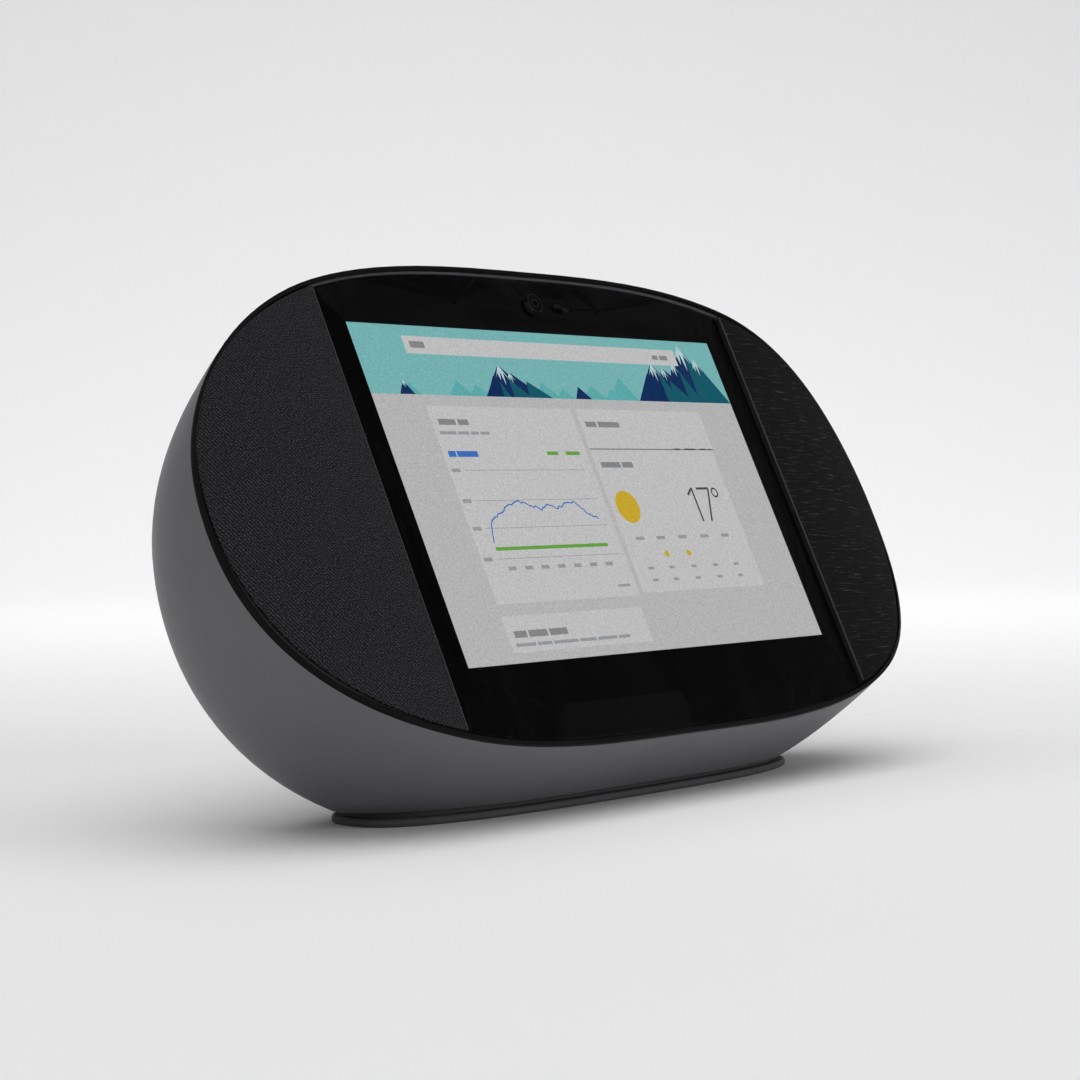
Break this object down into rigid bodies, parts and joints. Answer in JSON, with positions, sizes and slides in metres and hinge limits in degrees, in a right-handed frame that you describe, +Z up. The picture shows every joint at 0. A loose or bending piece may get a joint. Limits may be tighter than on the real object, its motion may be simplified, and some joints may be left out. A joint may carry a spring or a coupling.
{
  "type": "smart display speaker",
  "caption": "Countertop smart speaker: oval leaning front with flat touch display between two cloth-covered driver wings, rounded shell, flat rubber foot.",
  "frame": {"origin": "on the table, under the middle of the object", "axes": "+Z up, +X across the width, the front faces -Y and leans back"},
  "size_m": [0.3142, 0.1025, 0.1617],
  "materials": {
    "soft_touch_shell": "soft-touch painted ABS, fine satin texture",
    "base_black": "moulded ABS, dark matt",
    "foot_rubber": "moulded rubber, matt",
    "ballast_steel": "zinc-plated steel plate",
    "screw_steel": "black zinc screws",
    "front_glass": "toughened clear glass, polished",
    "bezel_film": "black printed film, gloss",
    "lcd": "lit display panel under glass",
    "bracket_steel": "pressed zinc-coated sheet",
    "ribbon": "polyimide ribbon",
    "foam_tape": "black foam tape",
    "grille_fabric": "woven polyester speaker cloth, fine twill",
    "sensor_black": "black moulded housing",
    "lens_glass": "coated lens glass",
    "board_green": "solder-masked glass-epoxy board",
    "chip_black": "moulded chip packages and parts",
    "sink_aluminium": "extruded aluminium",
    "brass_posts": "turned brass",
    "control_plastic": "moulded PC, satin",
    "spider_cloth": "resin-treated cotton",
    "ferrite": "sintered ferrite",
    "cone_paper": "coated paper cone",
    "voice_copper": "enamelled copper wire on an aluminium former",
    "radiator_black": "moulded ABS, satin"
  },
  "bodies": {
    "housing": {"rear_shell": "soft_touch_shell", "base_plate": "base_black", "front_baffle": "base_black", "left_grille_frame": "base_black", "right_grille_frame": "base_black", "inlet_cup": "base_black", "rubber_foot": "foot_rubber", "mic_boots": "foot_rubber", "radiator_surround": "foot_rubber", "left_surround": "foot_rubber", "right_surround": "foot_rubber", "base_weight": "ballast_steel", "driver_yokes": "ballast_steel", "driver_top_plates": "ballast_steel", "base_screws": "screw_steel", "board_screws": "screw_steel", "driver_screws": "screw_steel", "cover_glass": "front_glass", "bezel_mask": "bezel_film", "lcd_panel": "lcd", "display_bracket": "bracket_steel", "processor_shield": "bracket_steel", "left_basket": "bracket_steel", "right_basket": "bracket_steel", "display_cable": "ribbon", "display_tape": "foam_tape", "driver_gaskets": "foam_tape", "left_grille_cloth": "grille_fabric", "right_grille_cloth": "grille_fabric", "camera_module": "sensor_black", "mute_switch": "sensor_black", "dc_jack": "sensor_black", "camera_lens": "lens_glass", "light_pipe": "lens_glass", "sensor_board": "board_green", "main_board": "board_green", "amplifier_board": "board_green", "button_board": "board_green", "antennas": "board_green", "board_chips": "chip_black", "amplifier_parts": "chip_black", "microphones": "chip_black", "heat_sink": "sink_aluminium", "amplifier_posts": "brass_posts", "driver_spiders": "spider_cloth", "driver_magnets": "ferrite", "radiator_frame": "radiator_black"},
    "volume_up_button": {"volume_up": "control_plastic"},
    "volume_down_button": {"volume_down": "control_plastic"},
    "mute_slider": {"mute_knob": "control_plastic"},
    "camera_shutter": {"shutter_blade": "control_plastic", "shutter_knob": "control_plastic"},
    "left_driver_cone": {"left_cone": "cone_paper", "left_dust_cap": "cone_paper", "left_voice_coil": "voice_copper"},
    "right_driver_cone": {"right_cone": "cone_paper", "right_dust_cap": "cone_paper", "right_voice_coil": "voice_copper"},
    "rear_radiator": {"radiator_plate": "radiator_black", "radiator_weight": "ballast_steel"}
  },
  "joints": [
    {"name": "volume_up_press", "type": "slide", "parent": "housing", "child": "volume_up_button", "axis": [-0.0587, -0.7173, -0.6943], "range_m": [0, 0.0005], "stiffness_N_per_m": 1500, "springref_m": -0.0006},
    {"name": "volume_down_press", "type": "slide", "parent": "housing", "child": "volume_down_button", "axis": [-0.0169, -0.7124, -0.7016], "range_m": [0, 0.0005], "stiffness_N_per_m": 1500, "springref_m": -0.0006},
    {"name": "mute_slide", "type": "slide", "parent": "housing", "child": "mute_slider", "axis": [0.9992, 0.0157, 0.0363], "range_m": [0, 0.003]},
    {"name": "shutter_slide", "type": "slide", "parent": "housing", "child": "camera_shutter", "axis": [1, 0, 0], "range_m": [0, 0.01]},
    {"name": "left_cone_travel", "type": "slide", "parent": "housing", "child": "left_driver_cone", "axis": [-0.1375, -0.8966, 0.421], "range_m": [-0.002, 0.002], "stiffness_N_per_m": 1200},
    {"name": "right_cone_travel", "type": "slide", "parent": "housing", "child": "right_driver_cone", "axis": [0.1375, -0.8966, 0.421], "range_m": [-0.002, 0.002], "stiffness_N_per_m": 1200},
    {"name": "radiator_travel", "type": "slide", "parent": "housing", "child": "rear_radiator", "axis": [0, 0.943, -0.3328], "range_m": [-0.003, 0.003], "stiffness_N_per_m": 1000}
  ]
}
